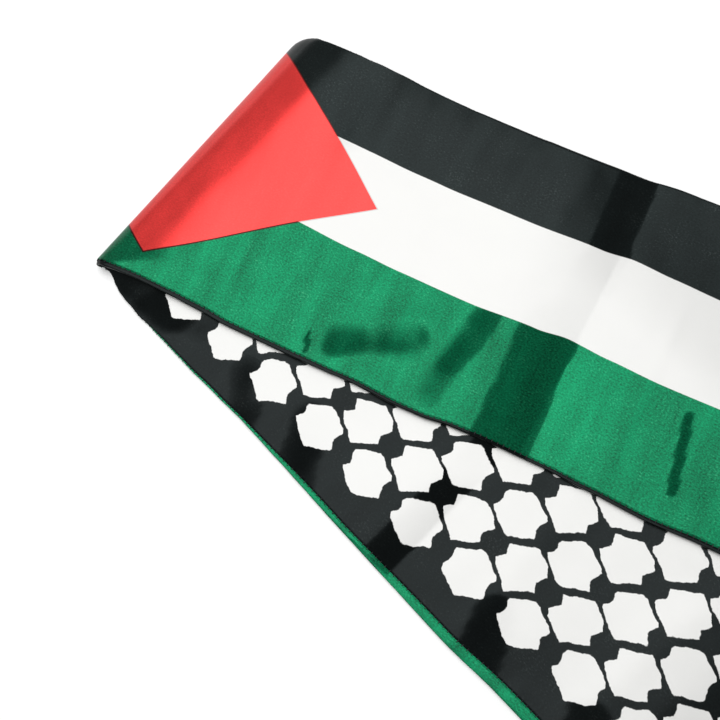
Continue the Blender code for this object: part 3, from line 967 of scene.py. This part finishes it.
def stitch_tree():
    """Bars of thread at even steps along a path, with their sizes as inputs."""
    tree = bpy.data.node_groups.new("stitches", "GeometryNodeTree")
    tree.interface.new_socket("Path", in_out="INPUT", socket_type="NodeSocketGeometry")
    for name in ("Pitch", "Length", "Width", "Uneven"):
        tree.interface.new_socket(name, in_out="INPUT", socket_type="NodeSocketFloat")
    tree.interface.new_socket("Seed", in_out="INPUT", socket_type="NodeSocketInt")
    tree.interface.new_socket("Thread", in_out="INPUT", socket_type="NodeSocketMaterial")
    tree.interface.new_socket("Stitches", in_out="OUTPUT", socket_type="NodeSocketGeometry")

    def add(kind, settings=None, values=None):
        node = tree.nodes.new(kind)
        for key, value in (settings or {}).items():
            setattr(node, key, value)
        for key, value in (values or {}).items():
            if isinstance(value, bpy.types.NodeSocket):
                tree.links.new(value, node.inputs[key])
            else:
                node.inputs[key].default_value = value
        return node.outputs

    given = add("NodeGroupInput")
    path = add("GeometryNodeMeshToCurve", None, {"Mesh": given["Path"]})["Curve"]
    steps = {"Curve": path, "Length": given["Pitch"]}
    path = add("GeometryNodeResampleCurve", {"mode": "LENGTH"}, steps)["Curve"]
    over = add("GeometryNodeInputNamedAttribute", {"data_type": "FLOAT_VECTOR"}, {"Name": "over"})[0]
    outward = add("GeometryNodeInputNamedAttribute", {"data_type": "FLOAT_VECTOR"}, {"Name": "outward"})[0]
    axes = {"primary_axis": "X", "secondary_axis": "Z"}
    turn = add("FunctionNodeAxesToRotation", axes, {0: over, 1: outward})[0]
    least = add("ShaderNodeMath", {"operation": "SUBTRACT"}, {0: 1.0, 1: given["Uneven"]})[0]
    most = add("ShaderNodeMath", {"operation": "ADD"}, {0: 1.0, 1: given["Uneven"]})[0]
    spread = {"Min": least, "Max": most, "Seed": given["Seed"]}
    random = tree.nodes.new("FunctionNodeRandomValue")
    random.data_type = "FLOAT"
    for key, socket in spread.items():
        found = [entry for entry in random.inputs if entry.name == key and entry.enabled]
        tree.links.new(socket, found[0])
    value = next(entry for entry in random.outputs if entry.enabled)
    long = add("ShaderNodeMath", {"operation": "MULTIPLY"}, {0: value, 1: given["Length"]})[0]
    size = add("ShaderNodeCombineXYZ", None, {0: long, 1: given["Width"], 2: given["Width"]})[0]
    bar = add("GeometryNodeMeshUVSphere", None, {"Segments": 8, "Rings": 5, "Radius": 0.5})["Mesh"]
    bars = {"Points": path, "Instance": bar, "Rotation": turn, "Scale": size}
    bars = add("GeometryNodeInstanceOnPoints", None, bars)[0]
    bars = add("GeometryNodeRealizeInstances", None, {0: bars})[0]
    bars = add("GeometryNodeSetShadeSmooth", None, {0: bars})[0]
    bars = add("GeometryNodeSetMaterial", None, {"Geometry": bars, "Material": given["Thread"]})[0]
    add("NodeGroupOutput", None, {"Stitches": bars})
    return tree


def make_stitches():
    points, over, outward, edges = [], [], [], []
    for run_points, run_over, run_outward in seam_runs():
        first = len(points)
        points += run_points.tolist()
        over += run_over.tolist()
        outward += run_outward.tolist()
        edges += [(i, i + 1) for i in range(first, len(points) - 1)]
    path = bpy.data.meshes.new("seam_paths")
    path.from_pydata(points, edges, [])
    for name, vectors in (("over", over), ("outward", outward)):
        attribute = path.attributes.new(name, "FLOAT_VECTOR", "POINT")
        attribute.data.foreach_set("vector", np.array(vectors, dtype=np.float32).ravel())
    maker = bpy.data.objects.new("seam_paths", path)
    bpy.context.scene.collection.objects.link(maker)
    thread = Finish("seam_thread")
    thread.shader.inputs["Base Color"].default_value = THREAD["colour"]
    thread.shader.inputs["Roughness"].default_value = THREAD["roughness"]
    modifier = maker.modifiers.new("stitches", "NODES")
    modifier.node_group = stitch_tree()
    values = {
        "Pitch": STITCH["pitch"],
        "Length": STITCH["length"],
        "Width": STITCH["width"],
        "Uneven": STITCH["uneven"],
        "Seed": STITCH["seed"],
        "Thread": thread.material,
    }
    for item in modifier.node_group.interface.items_tree:
        if item.name in values:
            modifier[item.identifier] = values[item.name]
    evaluated = maker.evaluated_get(bpy.context.evaluated_depsgraph_get())
    mesh = bpy.data.meshes.new_from_object(evaluated)
    mesh.name = "seam_stitches"
    made = bpy.data.objects.new("seam_stitches", mesh)
    bpy.context.scene.collection.objects.link(made)
    bpy.data.objects.remove(maker)
    return made


seam_stitches = make_stitches()
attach(seam_stitches, "root")


# The table.
# A plain pale top, much larger than the picture. It glows a little, for a ground lit to white.

TABLE = {"side": 3.0, "height": -0.1 * MM, "colour": (0.9, 0.9, 0.9, 1), "roughness": 0.8}
TABLE_GLOW = 0.08
bpy.ops.mesh.primitive_plane_add(size=TABLE["side"], location=(0, 0, TABLE["height"]))
table = bpy.context.object
table.name = "table"
table_finish = Finish("table_paint")
table_finish.shader.inputs["Base Color"].default_value = TABLE["colour"]
table_finish.shader.inputs["Roughness"].default_value = TABLE["roughness"]
table_finish.shader.inputs["Emission Color"].default_value = (1, 1, 1, 1)
table_finish.shader.inputs["Emission Strength"].default_value = TABLE_GLOW
table.data.materials.append(table_finish.material)


# The camera.
# It looks down on the fold, a little from the near side, as close as the photo was taken.

VIEW = {
    "aim": (-197.9 * MM, -37.6 * MM, 0),
    "right": 35.0,
    "tilt": 15.0,
    "from": -26.2,
    "distance": 455 * MM,
    "lens": 50.0,
}
right_heading = math.radians(VIEW["right"])
from_heading = math.radians(VIEW["from"])
tilt = math.radians(VIEW["tilt"])
to_camera = Vector(
    (
        math.sin(tilt) * math.cos(from_heading),
        math.sin(tilt) * math.sin(from_heading),
        math.cos(tilt),
    )
)
level = Vector((math.cos(right_heading), math.sin(right_heading), 0))
up = level.cross(-to_camera).normalized()
right = (-to_camera).cross(up)
turn = Matrix((right, up, to_camera)).transposed().to_4x4()
camera_data = bpy.data.cameras.new("camera")
camera_data.lens = VIEW["lens"]
camera = bpy.data.objects.new("camera", camera_data)
camera.matrix_world = Matrix.Translation(Vector(VIEW["aim"]) + to_camera * VIEW["distance"]) @ turn
bpy.context.scene.collection.objects.link(camera)
bpy.context.scene.camera = camera


# The light.
# A large soft box where the camera's view mirrors off the table, so flat satin shines and cloth
# that tilts away goes dark, and a soft even fill from all round.

SOFT_BOX = {"distance": 1.2, "side": 1.45, "power": 18.0}
FILL = 0.28
mirrored = Vector((-to_camera.x, -to_camera.y, to_camera.z))
box_data = bpy.data.lights.new("soft_box", "AREA")
box_data.shape = "SQUARE"
box_data.size = SOFT_BOX["side"]
box_data.energy = SOFT_BOX["power"]
soft_box = bpy.data.objects.new("soft_box", box_data)
soft_box.matrix_world = Matrix.Translation(Vector(VIEW["aim"]) + mirrored * SOFT_BOX["distance"]) @ (
    mirrored.to_track_quat("Z", "Y").to_matrix().to_4x4()
)
bpy.context.scene.collection.objects.link(soft_box)

world = bpy.data.worlds.new("room")
bpy.context.scene.world = world
world.use_nodes = True
world.node_tree.nodes["Background"].inputs["Color"].default_value = (1, 1, 1, 1)
world.node_tree.nodes["Background"].inputs["Strength"].default_value = FILL
bpy.context.scene.view_settings.view_transform = "Standard"
